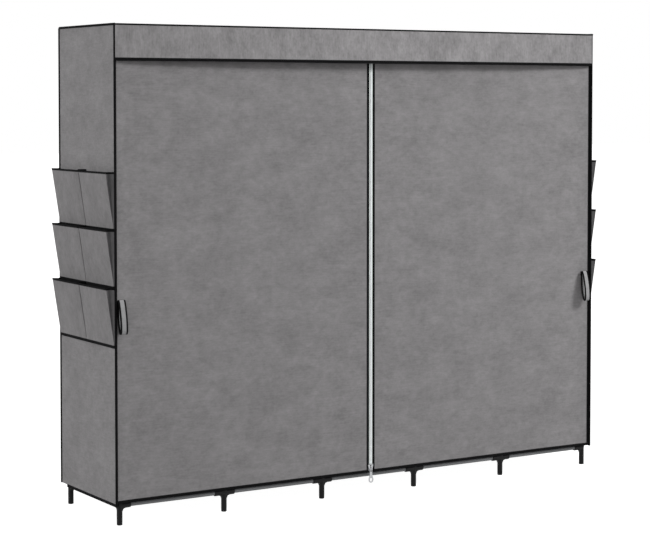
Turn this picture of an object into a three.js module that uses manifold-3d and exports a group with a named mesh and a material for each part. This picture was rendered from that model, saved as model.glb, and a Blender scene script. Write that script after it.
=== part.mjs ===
// Portable fabric wardrobe: a five-bay frame of steel tubes in moulded plastic connectors,
// dressed in a sewn cover with two zipped doors, a valance and rows of side pockets.
// Millimetres, +Z up. The front faces -Y and x runs along it.
// Heights are from the floor, widths from the middle, and depths from the cover's front plane
// until the last lines, which move the origin to the middle of the footprint.

import * as THREE from 'three';
import { mergeVertices } from 'three/addons/utils/BufferGeometryUtils.js';
import Module from 'manifold-3d';

const wasm = await Module();
wasm.setup();

// Whole wardrobe
const coverWidth = 2070;
const coverDepth = 454;
const coverHeight = 1704;
const cloth = 1.5;
const seatGap = 0.3;
const cutOverrun = 2;
const roundSides = 10;

// Steel tubes and how they stand
const tubeDiameter = 16;
const tubeWall = 1;
const bayCount = 5;
const uprightInsetX = 22.9;
const uprightInsetY = 26.2;
const baseRailHeight = 69;

// Moulded connectors
const connectorWall = 1.7;
const connectorReach = 38.5;
const socketStop = 1.5;
const webWidth = 12;
const webRadius = 10;
const webSteps = 3;
const legDiameter = 17.3;
const soleRound = 1.5;
const soleSteps = 2;

// Hanging rods, each over two bays
const rodDrop = 75;
const hangerLength = 40;
const hangerNeck = 6;
const hangerSteps = 3;
const rodSocketReach = 24;

// Shelves of the middle bay
const shelfCount = 3;
const firstShelfHeight = 470;
const shelfPitch = 400;
const shelfSleeveHeight = 34;

// Cover: sides, back, roof and valance
const sideHemHeight = 70;
const valanceDrop = 123;
const valanceBow = 4;
const valanceSteps = 8;
const seamAllowance = 11.5;

// Doors, hung behind the front plane, and the zip between them
const doorRecess = 11;
const doorSeamInset = 6;
const doorHemHeight = 77.5;
const doorTopGap = 1;
const zipOpeningHalf = 12;
const tapeOverlap = 5;
const tapeThickness = 1;
const coilWidth = 2;
const coilHeight = 2;
const zipStopHeight = 28.5;

// Zip slider
const sliderHeight = 24;
const shoulderHalf = 11.4;
const sliderFootHalf = 8.5;
const shoulderDrop = 9;
const sliderPlate = 1.8;
const runningGap = 0.4;
const bridgeHalf = 1.2;
const bridgeHeight = 9;
const rimWidth = 2;
const bailHalf = 1.6;
const bailWire = 1.6;
const bailRise = 3.3;
const bailOpeningHalf = 2;

// Zip pull, hung from the bail
const pullThickness = 1.6;
const pullPinHeight = 6;
const pullPinStandoff = 1.7;
const pullArmHalf = 4.8;
const pullEyeHalf = 3;
const pullEyeLength = 8;
const pullNeckHalf = 5.4;
const pullNeckDrop = 18;
const pullRingRadius = 10.3;
const pullRingDrop = 37;
const pullHoleWidth = 10;
const pullHoleLength = 12.5;
const pullSteps = 9;

// Tie-back loops, one on each door
const loopInset = 13;
const loopWidth = 26;
const loopLength = 116;
const loopDepth = 16;
const loopStrap = 1.8;
const loopTopHeight = 768;
const loopTilt = 8;
const loopSteps = 16;

// Side pockets, in rows of two cells
const pocketRows = 3;
const pocketTopDrop = 503;
const pocketPitch = 196;
const pocketEndInset = 11;
const pocketReach = 32;
const pocketFoot = 2.5;

// Sizes that follow from those above
const halfWidth = coverWidth / 2;
const tubeRadius = tubeDiameter / 2;
const boreRadius = tubeRadius + seatGap;
const socketRadius = boreRadius + connectorWall;
const seatDistance = boreRadius + socketStop;
const uprightX = halfWidth - uprightInsetX;
const bayWidth = 2 * uprightX / bayCount;
const uprightYs = { front: uprightInsetY, rear: coverDepth - uprightInsetY };
const roofUnderside = coverHeight - cloth;
const topRailHeight = roofUnderside - seatGap - socketRadius;
const rodHeight = topRailHeight - rodDrop;
const valanceHem = coverHeight - valanceDrop;
const doorTop = valanceHem - doorTopGap;
const doorBack = doorRecess + cloth;
const doorEdge = halfWidth - doorSeamInset;
const sideInner = halfWidth - cloth;
const middleBay = (bayCount - 1) / 2;
const frameX = (column) => -uprightX + bayWidth * column;

// Materials
const greyCloth = new THREE.MeshStandardMaterial({ color: '#7f7d7e', roughness: 0.95, metalness: 0 });
const steelTube = new THREE.MeshStandardMaterial({ color: '#8d8f91', roughness: 0.4, metalness: 0.6 });
const blackPlastic = new THREE.MeshStandardMaterial({ color: '#1b1b1c', roughness: 0.5, metalness: 0 });
const whiteTape = new THREE.MeshStandardMaterial({ color: '#e6ebe9', roughness: 0.8, metalness: 0 });
const zipMetal = new THREE.MeshStandardMaterial({ color: '#b5b6b8', roughness: 0.3, metalness: 0.9 });
const paleStrap = new THREE.MeshStandardMaterial({ color: '#969696', roughness: 0.9, metalness: 0 });

const wardrobe = new THREE.Group();

function addPiece(name, geometry, material) {
  const mesh = new THREE.Mesh(geometry, material);
  mesh.name = name;
  wardrobe.add(mesh);
}

// Joins and cuts

function solidFrom(geometry) {
  const bare = geometry.clone();
  bare.deleteAttribute('normal');
  bare.deleteAttribute('uv');
  const merged = mergeVertices(bare);
  return new wasm.Manifold(new wasm.Mesh({
    numProp: 3,
    vertProperties: new Float32Array(merged.attributes.position.array),
    triVerts: new Uint32Array(merged.index.array),
  }));
}

function geometryFrom(solid) {
  const mesh = solid.getMesh();
  const geometry = new THREE.BufferGeometry();
  geometry.setAttribute('position', new THREE.BufferAttribute(mesh.vertProperties, mesh.numProp));
  geometry.setIndex(new THREE.BufferAttribute(mesh.triVerts, 1));
  geometry.computeVertexNormals();
  return geometry;
}

function fuse(geometries) {
  return geometries.map(solidFrom).reduce((whole, piece) => whole.add(piece));
}

function cut(solid, geometries) {
  return geometries.map(solidFrom).reduce((left, tool) => left.subtract(tool), solid);
}

// Basic forms

function block(low, high) {
  const size = high.map((value, axis) => value - low[axis]);
  const middle = high.map((value, axis) => (value + low[axis]) / 2);
  return new THREE.BoxGeometry(...size).translate(...middle);
}

// A round bar along one axis: place gives its centre line, and its own axis there is ignored
function roundBar(axis, radius, from, to, place) {
  const bar = new THREE.CylinderGeometry(radius, radius, Math.abs(to - from), roundSides);
  if (axis === 'x') bar.rotateZ(-Math.PI / 2);
  if (axis === 'z') bar.rotateX(Math.PI / 2);
  const centre = { ...place, [axis]: (from + to) / 2 };
  return bar.translate(centre.x, centre.y, centre.z);
}

function hollowTube(axis, from, to, place) {
  const outside = fuse([roundBar(axis, tubeRadius, from, to, place)]);
  const bore = roundBar(axis, tubeRadius - tubeWall, from - cutOverrun, to + cutOverrun, place);
  return cut(outside, [bore]);
}

// Profile drawn across and up, then pushed along y from one depth to another
function pushedAlongY(shape, from, to, steps) {
  const geometry = new THREE.ExtrudeGeometry(shape, {
    depth: to - from, bevelEnabled: false, steps: 1, curveSegments: steps,
  });
  return geometry.rotateX(Math.PI / 2).translate(0, to, 0);
}

// Profile drawn along y and up, then pushed along x from one place to another
function pushedAlongX(shape, from, to, steps) {
  const geometry = new THREE.ExtrudeGeometry(shape, {
    depth: to - from, bevelEnabled: false, steps: 1, curveSegments: steps,
  });
  return geometry.rotateX(Math.PI / 2).rotateZ(Math.PI / 2).translate(from, 0, 0);
}

// Profile drawn in plan, then raised from one height to another
function raised(shape, from, to, steps) {
  const geometry = new THREE.ExtrudeGeometry(shape, {
    depth: to - from, bevelEnabled: false, steps: 1, curveSegments: steps,
  });
  return geometry.translate(0, 0, from);
}

// Moulded connectors: a sleeve with arms, and on a foot a hollow-edged web under each arm

function webShape(side) {
  const shape = new THREE.Shape();
  const reach = legDiameter / 2 + webRadius;
  const low = -socketRadius - webRadius;
  shape.moveTo(0, 0);
  shape.lineTo(side * reach, 0);
  shape.lineTo(side * reach, -socketRadius);
  const start = Math.PI / 2;
  const end = side > 0 ? Math.PI : 0;
  shape.absarc(side * reach, low, webRadius, start, end, side < 0);
  shape.lineTo(0, low);
  shape.closePath();
  return shape;
}

function web({ axis, side }, place) {
  const shape = webShape(side);
  const push = axis === 'x' ? pushedAlongY : pushedAlongX;
  return push(shape, -webWidth / 2, webWidth / 2, webSteps).translate(place.x, place.y, place.z);
}

// Arm of a connector, given as { axis, side }
function armSolid({ axis, side }, place) {
  const mouth = place[axis] + side * connectorReach;
  return roundBar(axis, socketRadius, ...ordered(place[axis], mouth), place);
}


function ordered(a, b) {
  return a < b ? [a, b] : [b, a];
}

function armBore({ axis, side }, stop, place) {
  const from = place[axis] + side * stop;
  const to = place[axis] + side * (connectorReach + cutOverrun);
  return roundBar(axis, boreRadius, ...ordered(from, to), place);
}

// Arms of the connectors in one column: along the front, and into the depth where asked
function railArms(column) {
  const arms = [];
  if (column > 0) arms.push({ axis: 'x', side: -1 });
  if (column < bayCount) arms.push({ axis: 'x', side: 1 });
  return arms;
}

function depthArm(row) {
  return { axis: 'y', side: row === 'front' ? 1 : -1 };
}

// The rail runs through the middle connectors and ends at the centre of a corner one
function railBores(column, place) {
  return railArms(column).map((arm) => armBore(arm, 0, place));
}

// Feet: leg, rail arms and the socket that the upright stands in

function legGeometry(place) {
  const radius = legDiameter / 2;
  const points = [new THREE.Vector2(0, 0)];
  for (let step = 0; step <= soleSteps; step += 1) {
    const turn = (Math.PI / 2) * (step / soleSteps);
    points.push(new THREE.Vector2(
      radius - soleRound + soleRound * Math.sin(turn),
      soleRound - soleRound * Math.cos(turn),
    ));
  }
  points.push(new THREE.Vector2(radius, place.z), new THREE.Vector2(0, place.z));
  return new THREE.LatheGeometry(points, roundSides).rotateX(Math.PI / 2).translate(place.x, place.y, 0);
}

function foot(column, row) {
  const place = { x: frameX(column), y: uprightYs[row], z: baseRailHeight };
  const corner = column === 0 || column === bayCount;
  const arms = corner ? [...railArms(column), depthArm(row)] : railArms(column);
  const socketTop = place.z + connectorReach;
  const body = fuse([
    legGeometry(place),
    roundBar('z', socketRadius, place.z, socketTop, place),
    ...arms.flatMap((arm) => [armSolid(arm, place), web(arm, place)]),
  ]);
  const bores = [
    ...railBores(column, place),
    roundBar('z', boreRadius, place.z + seatDistance, socketTop + cutOverrun, place),
  ];
  if (corner) bores.push(armBore(depthArm(row), seatDistance, place));
  return geometryFrom(cut(body, bores));
}

// Uprights: a tube with its moulded top connector, and shelf sockets beside the middle bay

function shelfHeights() {
  return Array.from({ length: shelfCount }, (unused, shelf) => firstShelfHeight + shelfPitch * shelf);
}

function upright(column, row) {
  const place = { x: frameX(column), y: uprightYs[row], z: topRailHeight };
  const bottom = baseRailHeight + seatDistance + seatGap;
  const arms = [...railArms(column), depthArm(row)];
  const solids = [
    roundBar('z', tubeRadius, bottom, place.z - connectorReach / 2, place),
    roundBar('z', socketRadius, place.z - connectorReach, place.z, place),
    ...arms.map((arm) => armSolid(arm, place)),
  ];
  const bores = [
    roundBar('z', tubeRadius - tubeWall, bottom - cutOverrun, place.z - seatDistance, place),
    ...railBores(column, place),
    armBore(depthArm(row), seatDistance, place),
  ];
  if (column === middleBay || column === middleBay + 1) {
    const arm = { axis: 'x', side: column === middleBay ? 1 : -1 };
    for (const height of shelfHeights()) {
      const level = { ...place, z: height };
      const half = shelfSleeveHeight / 2;
      solids.push(
        roundBar('z', socketRadius, height - half, height + half, level),
        armSolid(arm, level),
      );
      bores.push(armBore(arm, seatDistance, level));
    }
  }
  return geometryFrom(cut(fuse(solids), bores));
}

for (const row of ['front', 'rear']) {
  for (let column = 0; column <= bayCount; column += 1) {
    addPiece(`foot_${row}_${column + 1}`, foot(column, row), blackPlastic);
    addPiece(`upright_${row}_${column + 1}`, upright(column, row), steelTube);
  }
}

// Rails along the front and the back, run through their connectors
for (const row of ['front', 'rear']) {
  const end = uprightX - seatGap;
  for (const [level, height] of [['base', baseRailHeight], ['top', topRailHeight]]) {
    const rail = hollowTube('x', -end, end, { y: uprightYs[row], z: height });
    addPiece(`${level}_rail_${row}`, geometryFrom(rail), steelTube);
  }
}

// Cross tubes from the front to the back
const crossStart = uprightYs.front + seatDistance + seatGap;
const crossEnd = uprightYs.rear - seatDistance - seatGap;

for (const [side, column] of [['left', 0], ['right', bayCount]]) {
  const tube = hollowTube('y', crossStart, crossEnd, { x: frameX(column), z: baseRailHeight });
  addPiece(`base_cross_${side}`, geometryFrom(tube), steelTube);
}

// Side of a column on which a hanging rod leaves its hanger: both where the rod runs through
function rodSides(column) {
  const runsThrough = column !== 0 && column !== bayCount
    && column !== middleBay && column !== middleBay + 1;
  if (runsThrough) return [-1, 1];
  return column === 0 || column === middleBay + 1 ? [1] : [-1];
}

function hangerShape() {
  const shape = new THREE.Shape();
  const top = hangerLength / 2;
  shape.moveTo(-top, 0);
  shape.quadraticCurveTo(-hangerNeck, -rodDrop / 2, -socketRadius, -rodDrop);
  shape.lineTo(socketRadius, -rodDrop);
  shape.quadraticCurveTo(hangerNeck, -rodDrop / 2, top, 0);
  shape.closePath();
  return shape;
}

function topCross(column) {
  const place = { x: frameX(column), y: coverDepth / 2, z: topRailHeight };
  const rod = { ...place, z: rodHeight };
  const sleeve = hangerLength / 2;
  const sides = rodSides(column);
  const stub = sides.length > 1 ? rodSocketReach : webWidth / 2;
  const reaches = [-1, 1].map((side) => side * (sides.includes(side) ? rodSocketReach : stub));
  const body = fuse([
    roundBar('y', tubeRadius, crossStart, crossEnd, place),
    roundBar('y', socketRadius, place.y - sleeve, place.y + sleeve, place),
    pushedAlongX(hangerShape(), -webWidth / 2, webWidth / 2, hangerSteps)
      .translate(place.x, place.y, place.z),
    roundBar('x', socketRadius, rod.x + reaches[0], rod.x + reaches[1], rod),
  ]);
  const rodBores = sides.map((side) => {
    const mouth = rod.x + side * (rodSocketReach + cutOverrun);
    return roundBar('x', boreRadius, ...ordered(rod.x, mouth), rod);
  });
  const tubeBore = roundBar('y', tubeRadius - tubeWall, crossStart - cutOverrun,
    crossEnd + cutOverrun, place);
  return geometryFrom(cut(body, [tubeBore, ...rodBores]));
}

for (let column = 0; column <= bayCount; column += 1) {
  addPiece(`top_cross_${column + 1}`, topCross(column), steelTube);
}

for (const [side, first, last] of [['left', 0, middleBay], ['right', middleBay + 1, bayCount]]) {
  const rod = hollowTube('x', frameX(first) + seatGap, frameX(last) - seatGap,
    { y: coverDepth / 2, z: rodHeight });
  addPiece(`hanging_rod_${side}`, geometryFrom(rod), steelTube);
}

// Shelves: a sheet sewn into a sleeve round each of its two tubes
function shelf(height) {
  const tubeFrom = frameX(middleBay) + seatDistance + seatGap;
  const tubeTo = frameX(middleBay + 1) - seatDistance - seatGap;
  const sheetFrom = frameX(middleBay) + connectorReach + seatGap;
  const sheetTo = frameX(middleBay + 1) - connectorReach - seatGap;
  const rows = Object.values(uprightYs);
  const top = height + tubeRadius + cloth;
  const tubes = rows.flatMap((y) => [
    roundBar('x', tubeRadius, tubeFrom, tubeTo, { y, z: height }),
    roundBar('x', tubeRadius + cloth, sheetFrom, sheetTo, { y, z: height }),
  ]);
  const sheet = block([sheetFrom, uprightYs.front, top - cloth], [sheetTo, uprightYs.rear, top]);
  const bores = rows.map((y) => roundBar('x', tubeRadius - tubeWall,
    tubeFrom - cutOverrun, tubeTo + cutOverrun, { y, z: height }));
  return geometryFrom(cut(fuse([...tubes, sheet]), bores));
}

shelfHeights().forEach((height, index) => {
  addPiece(`shelf_${index + 1}`, shelf(height), greyCloth);
});

// Cover panels. Each side turns in at the front as the seam that the door is sewn to
function sidePanel(side) {
  const shape = new THREE.Shape();
  const seamBack = doorBack + seatGap;
  const outline = [
    [halfWidth, 0], [halfWidth, coverDepth], [sideInner, coverDepth],
    [sideInner, seamBack + cloth], [sideInner - seamAllowance, seamBack + cloth],
    [sideInner - seamAllowance, seamBack], [sideInner, seamBack], [sideInner, 0],
  ];
  shape.setFromPoints(outline.map(([x, y]) => new THREE.Vector2(side * x, y)));
  return raised(shape, sideHemHeight, roofUnderside - seatGap, 1);
}

addPiece('side_panel_left', sidePanel(-1), greyCloth);
addPiece('side_panel_right', sidePanel(1), greyCloth);

const innerWidth = sideInner - seatGap;
const panelTop = roofUnderside - seatGap;
addPiece('back_panel', block(
  [-innerWidth, coverDepth - cloth, sideHemHeight],
  [innerWidth, coverDepth, panelTop],
), greyCloth);
addPiece('roof_panel', block(
  [-halfWidth, 0, roofUnderside],
  [halfWidth, coverDepth, coverHeight],
), greyCloth);

// Valance: hangs from the roof's front edge and bellies forward in the middle
function valance() {
  const shape = new THREE.Shape();
  shape.moveTo(-innerWidth, 0);
  shape.quadraticCurveTo(0, -2 * valanceBow, innerWidth, 0);
  shape.lineTo(innerWidth, cloth);
  shape.quadraticCurveTo(0, cloth - 2 * valanceBow, -innerWidth, cloth);
  shape.closePath();
  return raised(shape, valanceHem, panelTop, valanceSteps);
}

addPiece('valance', valance(), greyCloth);

// Doors and their halves of the zip, mirrored about the middle
const tapeFront = doorBack + seatGap;
const tapeBack = tapeFront + tapeThickness;
const coilFront = tapeBack - coilHeight;
const tapeEdge = bridgeHalf + runningGap;

function tape(side) {
  const outer = zipOpeningHalf + tapeOverlap;
  const shape = new THREE.Shape();
  const outline = [
    [tapeEdge, coilFront], [tapeEdge + coilWidth, coilFront], [tapeEdge + coilWidth, tapeFront],
    [outer, tapeFront], [outer, tapeBack], [tapeEdge, tapeBack],
  ];
  shape.setFromPoints(outline.map(([x, y]) => new THREE.Vector2(side * x, y)));
  return raised(shape, doorHemHeight + zipStopHeight, doorTop, 1);
}

for (const [name, side] of [['left', -1], ['right', 1]]) {
  const [low, high] = ordered(side * doorEdge, side * zipOpeningHalf);
  addPiece(`door_${name}`, block(
    [low, doorRecess, doorHemHeight],
    [high, doorBack, doorTop],
  ), greyCloth);
  addPiece(`zip_tape_${name}`, tape(side), whiteTape);
}

// Zip slider: two plates over the coil, joined by a bridge between the tapes, with a bail in front
const sliderTop = doorHemHeight + zipStopHeight - seatGap;
const sliderBottom = sliderTop - sliderHeight;
const frontPlateBack = coilFront - runningGap;
const frontPlateFront = frontPlateBack - sliderPlate;
const backPlateFront = tapeBack + runningGap;
const backPlateBack = backPlateFront + sliderPlate;
const pinHeight = sliderBottom + pullPinHeight;
const pinDepth = frontPlateFront - pullPinStandoff;

function sliderOutline() {
  const shape = new THREE.Shape();
  const half = [
    [sliderFootHalf, 0], [sliderFootHalf, sliderHeight - shoulderDrop],
    [shoulderHalf, sliderHeight - shoulderDrop / 2], [shoulderHalf, sliderHeight],
  ];
  const right = half.map(([x, z]) => new THREE.Vector2(x, z));
  const left = half.map(([x, z]) => new THREE.Vector2(-x, z)).reverse();
  shape.setFromPoints([...right, ...left]);
  return shape;
}

function sliderPlateAt(front, back) {
  return pushedAlongY(sliderOutline(), front, back, 1).translate(0, 0, sliderBottom);
}

function bail() {
  const low = pinHeight - bailOpeningHalf - bailWire;
  const high = pinHeight + bailOpeningHalf + bailWire;
  const front = frontPlateFront - bailRise - bailWire;
  const arch = fuse([block([-bailHalf, front, low], [bailHalf, frontPlateBack, high])]);
  return cut(arch, [block(
    [-bailHalf - cutOverrun, front + bailWire, low + bailWire],
    [bailHalf + cutOverrun, frontPlateFront, high - bailWire],
  )]);
}

function sliderRim(side) {
  const inner = side * (sliderFootHalf - rimWidth);
  const [low, high] = ordered(inner, side * sliderFootHalf);
  return block(
    [low, frontPlateFront, sliderBottom],
    [high, tapeFront - runningGap, sliderTop - shoulderDrop],
  );
}

const sliderBody = fuse([
  sliderPlateAt(frontPlateFront, frontPlateBack),
  sliderPlateAt(backPlateFront, backPlateBack),
  block(
    [-bridgeHalf, frontPlateFront, sliderTop - bridgeHeight],
    [bridgeHalf, backPlateBack, sliderTop],
  ),
  sliderRim(-1),
  sliderRim(1),
]).add(bail());
addPiece('zip_slider', geometryFrom(sliderBody), zipMetal);

// Zip pull: a flat pressing with a pin bar behind the bail, a neck and a finger ring
function zipPull() {
  const shape = new THREE.Shape();
  const bar = pullThickness / 2;
  const ringTurn = Math.asin(pullNeckHalf / pullRingRadius);
  shape.moveTo(pullArmHalf, bar);
  shape.lineTo(-pullArmHalf, bar);
  shape.lineTo(-pullNeckHalf, -pullNeckDrop);
  shape.absarc(0, -pullRingDrop, pullRingRadius, Math.PI / 2 + ringTurn,
    Math.PI * 2 + Math.PI / 2 - ringTurn, false);
  shape.lineTo(pullNeckHalf, -pullNeckDrop);
  shape.closePath();
  const eye = new THREE.Path();
  eye.setFromPoints([
    new THREE.Vector2(-pullEyeHalf, -bar), new THREE.Vector2(pullEyeHalf, -bar),
    new THREE.Vector2(pullEyeHalf, -pullEyeLength), new THREE.Vector2(-pullEyeHalf, -pullEyeLength),
  ]);
  const hole = new THREE.Path();
  hole.absellipse(0, -pullRingDrop, pullHoleWidth / 2, pullHoleLength / 2, 0, Math.PI * 2, true, 0);
  shape.holes.push(eye, hole);
  return pushedAlongY(shape, -bar, bar, pullSteps).translate(0, pinDepth, pinHeight);
}

addPiece('zip_pull', geometryFrom(fuse([zipPull()])), zipMetal);

// Tie-back loops: a strap sewn end to end, flattened, tipping away from the door towards its foot
function tieLoop(side) {
  const ring = (length, depth) => {
    const path = new THREE.Path();
    path.absellipse(0, -loopLength / 2, depth / 2, length / 2, 0, Math.PI * 2, false, 0);
    return path.getPoints(loopSteps);
  };
  const shape = new THREE.Shape(ring(loopLength, loopDepth).slice(0, -1));
  const inside = ring(loopLength - 2 * loopStrap, loopDepth - 2 * loopStrap).slice(0, -1);
  shape.holes.push(new THREE.Path(inside.reverse()));
  const outerEdge = side * (halfWidth - loopInset);
  const [low, high] = ordered(outerEdge, outerEdge - side * loopWidth);
  const loop = pushedAlongX(shape, low, high, loopSteps);
  loop.rotateX(-loopTilt * Math.PI / 180);
  loop.computeBoundingBox();
  const backOfLoop = loop.boundingBox.max.y;
  return loop.translate(0, doorRecess - seatGap - backOfLoop, loopTopHeight);
}

addPiece('tie_loop_left', geometryFrom(fuse([tieLoop(-1)])), paleStrap);
addPiece('tie_loop_right', geometryFrom(fuse([tieLoop(1)])), paleStrap);

// Pockets: a wedge of cloth that opens upwards, with a gusset at each end and one between its cells
function pocket(side, row) {
  const height = pocketPitch - seatGap;
  const bottom = coverHeight - pocketTopDrop - pocketPitch * row - height;
  const slope = (pocketReach - pocketFoot) / height;
  const face = (up) => pocketFoot + slope * up;
  const wedge = new THREE.Shape();
  const outline = [[0, 0], [face(0), 0], [face(height), height], [0, height]];
  wedge.setFromPoints(outline.map(([out, up]) => new THREE.Vector2(side * out, up)));
  const cell = new THREE.Shape();
  const above = height + cutOverrun;
  const inside = [
    [-cutOverrun, cloth], [face(cloth) - cloth, cloth], [face(above) - cloth, above],
    [-cutOverrun, above],
  ];
  cell.setFromPoints(inside.map(([out, up]) => new THREE.Vector2(side * out, up)));
  const front = pocketEndInset;
  const rear = coverDepth - cloth;
  const middle = (front + rear) / 2;
  const cells = [
    pushedAlongY(cell, front + cloth, middle - cloth / 2, 1),
    pushedAlongY(cell, middle + cloth / 2, rear - cloth, 1),
  ];
  const body = cut(fuse([pushedAlongY(wedge, front, rear, 1)]), cells);
  return geometryFrom(body).translate(side * (halfWidth + seatGap), 0, bottom);
}

for (const [name, side] of [['left', -1], ['right', 1]]) {
  for (let row = 0; row < pocketRows; row += 1) {
    addPiece(`pocket_${name}_${row + 1}`, pocket(side, row), greyCloth);
  }
}

// Origin at the middle of the footprint
const bounds = new THREE.Box3().setFromObject(wardrobe);
wardrobe.position.y = -(bounds.min.y + bounds.max.y) / 2;

export default wardrobe;
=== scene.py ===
# A portable fabric wardrobe: a five-bay frame of steel tubes in moulded plastic connectors, inside
# a sewn grey cover with a valance, two zipped doors, tie-back loops and side pockets.
# Metres throughout. x runs along the front, and depths are measured back from the cover's front.

import math

import bmesh
import bpy
from mathutils import Matrix, Vector, noise


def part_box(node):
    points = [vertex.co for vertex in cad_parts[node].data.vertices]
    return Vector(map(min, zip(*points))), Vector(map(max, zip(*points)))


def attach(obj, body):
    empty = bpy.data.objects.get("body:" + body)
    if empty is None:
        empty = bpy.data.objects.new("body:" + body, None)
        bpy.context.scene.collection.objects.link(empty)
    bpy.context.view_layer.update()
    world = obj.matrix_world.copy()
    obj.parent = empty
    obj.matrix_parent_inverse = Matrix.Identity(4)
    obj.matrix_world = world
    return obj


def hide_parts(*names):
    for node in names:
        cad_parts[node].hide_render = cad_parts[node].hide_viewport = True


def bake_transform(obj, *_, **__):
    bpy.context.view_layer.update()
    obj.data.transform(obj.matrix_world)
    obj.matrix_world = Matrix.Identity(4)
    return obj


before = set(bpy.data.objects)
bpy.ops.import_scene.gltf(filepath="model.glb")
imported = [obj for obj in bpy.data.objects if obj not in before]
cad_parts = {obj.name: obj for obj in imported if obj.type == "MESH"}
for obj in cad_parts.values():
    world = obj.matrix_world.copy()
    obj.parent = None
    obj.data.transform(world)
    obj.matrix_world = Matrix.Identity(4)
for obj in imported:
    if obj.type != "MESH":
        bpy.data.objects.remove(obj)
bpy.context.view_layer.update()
scene = bpy.context.scene


# Where it stands: a plain white studio, lit from high on the right with a weaker light on the left.
# The floor and the far background show as white, and the floor takes a faint shadow.

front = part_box("side_panel_left")[0].y


def spot(x, depth, z):
    """A point x from the middle, so far behind the cover's front, at height z."""
    return Vector((x, front + depth, z))


class Signal:
    """What comes out of a node's socket. Sums on signals add Math nodes to the same tree."""

    def __init__(self, bench, socket):
        self.bench = bench
        self.socket = socket

    def maths(self, operation, *others):
        return self.bench.add("ShaderNodeMath", {"operation": operation},
                              dict(enumerate((self, *others))))

    def __add__(self, value):
        return self.maths("ADD", value)

    def __sub__(self, value):
        return self.maths("SUBTRACT", value)

    def __rsub__(self, value):
        return (self * -1.0).maths("ADD", value)

    def __mul__(self, value):
        return self.maths("MULTIPLY", value)

    def other(self, output):
        """Another output of the same node."""
        return Signal(self.bench, self.socket.node.outputs[output])

    __radd__ = __add__
    __rmul__ = __mul__


def put(thing, **settings):
    """Sets properties of a thing and gives it back."""
    for name, value in settings.items():
        setattr(thing, name, value)
    return thing


def made(name, data):
    """A new object that shows a mesh, a curve, a light or a camera."""
    thing = bpy.data.objects.new(name, data)
    scene.collection.objects.link(thing)
    return thing


class Bench:
    """A node tree being laid out afresh."""

    def __init__(self, tree):
        self.tree = tree
        tree.nodes.clear()

    def add(self, kind, settings=None, inputs=None, output=0):
        """Adds a node from its type, its settings and the values or signals of its sockets."""
        node = put(self.tree.nodes.new(kind), **(settings or {}))
        for key, value in (inputs or {}).items():
            if isinstance(value, Signal):
                self.tree.links.new(value.socket, node.inputs[key])
            else:
                node.inputs[key].default_value = value
        return Signal(self, node.outputs[output] if len(node.outputs) else None)

    def seen_directly(self):
        """1 where the camera sees the surface, straight or by a reflection or through glass."""
        rays = [self.add("ShaderNodeLightPath", output=name) for name in (
            "Is Camera Ray", "Is Glossy Ray", "Is Transmission Ray")]
        return (rays[0] + rays[1] + rays[2]).maths("MINIMUM", 1.0)


camera = made("camera", put(
    bpy.data.cameras.new("camera"), sensor_width=36, lens=104.28, shift_x=-0.0116,
    shift_y=-0.1491, clip_end=60))
camera.location = (-3.7752, -5.9704, 1.4542)
camera.rotation_euler = (math.radians(87.554), 0, math.radians(-32.075))
scene.camera = camera
scene.view_settings.view_transform = "Standard"

surround = 0.55
scene.world = put(bpy.data.worlds.new("studio"), use_nodes=True)
room = Bench(scene.world.node_tree)
glow = room.add("ShaderNodeBackground", inputs={
    "Color": (1, 1, 1, 1), "Strength": surround + room.seen_directly() * (1 - surround)})
room.add("ShaderNodeOutputWorld", inputs={"Surface": glow})



def lamp(name, kind, travel, **settings):
    """A light whose rays travel one way."""
    light = made(name, put(bpy.data.lights.new(name, kind), **settings))
    return put(light, rotation_euler=travel.to_track_quat("-Z", "Y").to_euler())


key_travel = Vector((-37, 24, -30)).normalized()
key = lamp("key", "AREA", key_travel, shape="DISK", size=2.2, energy=640)
key.location = Vector((0, front, 0.85)) - key_travel * 9
lamp("left_fill", "SUN", Vector((0.96, 0.08, -0.25)), energy=1.31, angle=math.radians(45))

floor_mesh = bpy.data.meshes.new("floor")
floor_mesh.from_pydata([(-40, -40, 0), (40, -40, 0), (40, 40, 0), (-40, 40, 0)], [], [(0, 1, 2, 3)])
made("floor", floor_mesh)
floor_paint = put(bpy.data.materials.new("floor_paint"), use_nodes=True)
floor_mesh.materials.append(floor_paint)
paint = Bench(floor_paint.node_tree)
matt = paint.add("ShaderNodeBsdfDiffuse", inputs={"Color": (0.35, 0.35, 0.35, 1)})
lit = paint.add("ShaderNodeEmission", inputs={"Color": (1, 1, 1, 1), "Strength": 0.985})
both = paint.add("ShaderNodeAddShader", inputs={0: matt, 1: lit})
floor_mix = paint.add("ShaderNodeMixShader", inputs={0: paint.seen_directly(), 1: matt, 2: both})
paint.add("ShaderNodeOutputMaterial", inputs={"Surface": floor_mix})

# Feet: twelve black nylon mouldings, each a leg, arms for the rails and a socket for the upright,
# with hollow-edged webs under the arms. The tubes push into their bores.

column_step = 0.40484
column_x = [-1.0121 + column_step * column for column in range(6)]
row_depth = {"front": 0.0262, "rear": 0.4278}
rail_height = 0.069
sleeve_radius = 0.010
bore_radius = 0.0083
bore_past = 0.002
socket_floor = 0.0098
arm_reach = 0.0385
foot_arm_past = 0.001722
top_arm_past = 0.001925
leg_radius = 0.00865
foot_fuller = 0.0013
web_radius = 0.010
web_width = 0.012


def even(start, end, step):
    """Stops from start to end, no further apart than a step."""
    count = max(1, math.ceil(abs(end - start) / step))
    return [start + (end - start) * index / count for index in range(count + 1)]


def linear(red, green, blue):
    """A colour as a screen names it, 0 to 255, in the linear values that a shader takes."""
    def one(level):
        share = level / 255
        return share / 12.92 if share <= 0.04045 else ((share + 0.055) / 1.055) ** 2.4
    return (one(red), one(green), one(blue), 1)


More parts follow.
